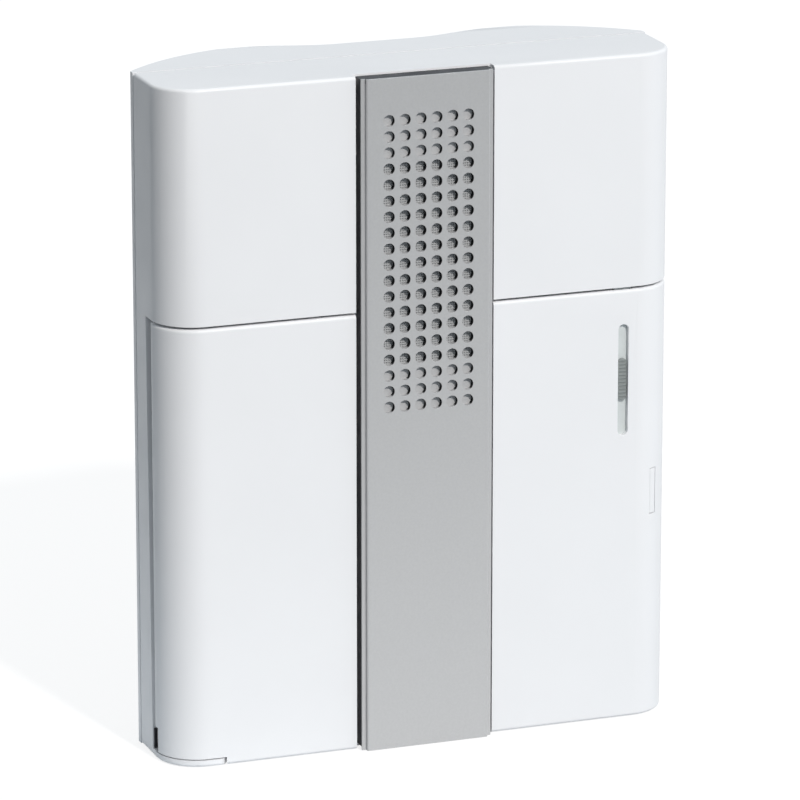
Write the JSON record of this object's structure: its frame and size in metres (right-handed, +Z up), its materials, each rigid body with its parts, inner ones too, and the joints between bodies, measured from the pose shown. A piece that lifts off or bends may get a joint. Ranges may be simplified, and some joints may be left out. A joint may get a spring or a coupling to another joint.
{
  "type": "doorbell chime box",
  "caption": "White wall chime box with a perforated metal strip down its front, a hinged service door, a volume slider, a loudspeaker, a circuit board and a battery tray inside.",
  "frame": {"origin": "middle of the wall face, at the centre of the four wall screw holes", "axes": "+X to the right seen from the front, +Y into the wall, +Z up"},
  "size_m": [0.1564, 0.0508, 0.2],
  "materials": {
    "case_white": "fine satin moulding",
    "strip_metal": "satin anodised",
    "screen_grey": "fine moulded mesh",
    "shutter_grey": "matt",
    "dark_plastic": "matt",
    "steel": "zinc plated",
    "knob_grey": "matt",
    "board_green": "solder resist",
    "capacitor_sleeve": "shrink sleeve",
    "resistor_body": "lacquered",
    "button_red": "matt",
    "terminal_green": "matt",
    "ferrite": "ground",
    "cone_paper": "pressed pulp",
    "copper": "enamelled wire",
    "surround_rubber": "matt",
    "tag_board": "laminate",
    "cell_sleeve": "plain printed sleeve",
    "contact_brass": "plated strip",
    "lead_red": "soft insulation",
    "lead_black": "soft insulation",
    "grommet_rubber": "matt"
  },
  "bodies": {
    "case": {"base_shell": "case_white", "front_cover": "case_white", "hinge_pins": "steel", "hinge_bush": "dark_plastic", "slide_pot": "dark_plastic", "circuit_board": "board_green", "melody_chip": "dark_plastic", "amplifier_chip": "dark_plastic", "capacitors": "capacitor_sleeve", "resistors": "resistor_body", "melody_switch": "dark_plastic", "terminal_block": "terminal_green", "terminal_screws": "steel", "speaker_frame": "steel", "speaker_magnet": "ferrite", "speaker_surround": "surround_rubber", "speaker_gasket": "surround_rubber", "speaker_tags": "tag_board", "speaker_screws": "steel", "battery_tray": "dark_plastic", "cell_jackets": "cell_sleeve", "cell_ends": "steel", "positive_contact": "contact_brass", "negative_contact": "contact_brass", "battery_leads": "lead_red", "speaker_leads": "lead_black", "case_screws": "steel", "board_screws": "steel", "tray_screws": "steel", "cable_grommet": "grommet_rubber"},
    "door": {"service_door": "case_white", "strip_carrier": "dark_plastic", "grille_strip": "strip_metal", "dust_screen": "screen_grey", "strip_screws": "steel", "catch_spring": "steel"},
    "catch": {"catch_tab": "case_white"},
    "volume": {"volume_knob": "knob_grey", "knob_shutter": "shutter_grey", "pot_lever": "steel"},
    "melody": {"melody_button": "button_red"},
    "cone": {"speaker_cone": "cone_paper", "dust_cap": "cone_paper", "voice_coil": "copper"}
  },
  "joints": [
    {"name": "door_hinge", "type": "hinge", "parent": "case", "child": "door", "pos_m": [-0.07655, -0.0355, 0], "axis": [0, 0, -1], "range_deg": [0, 100]},
    {"name": "catch_press", "type": "slide", "parent": "door", "child": "catch", "axis": [-0.4772, 0.8788, 0], "range_m": [0, 0.0012], "stiffness_N_per_m": 600, "deforming": ["catch_spring"]},
    {"name": "volume_slide", "type": "slide", "parent": "case", "child": "volume", "axis": [0, 0, 1], "range_m": [-0.01, 0.01]},
    {"name": "melody_press", "type": "slide", "parent": "case", "child": "melody", "axis": [0, 1, 0], "range_m": [0, 0.0004], "stiffness_N_per_m": 1200},
    {"name": "cone_travel", "type": "slide", "parent": "case", "child": "cone", "axis": [0, 1, 0], "range_m": [-0.0008, 0.0008], "stiffness_N_per_m": 600, "deforming": ["speaker_surround"]}
  ]
}
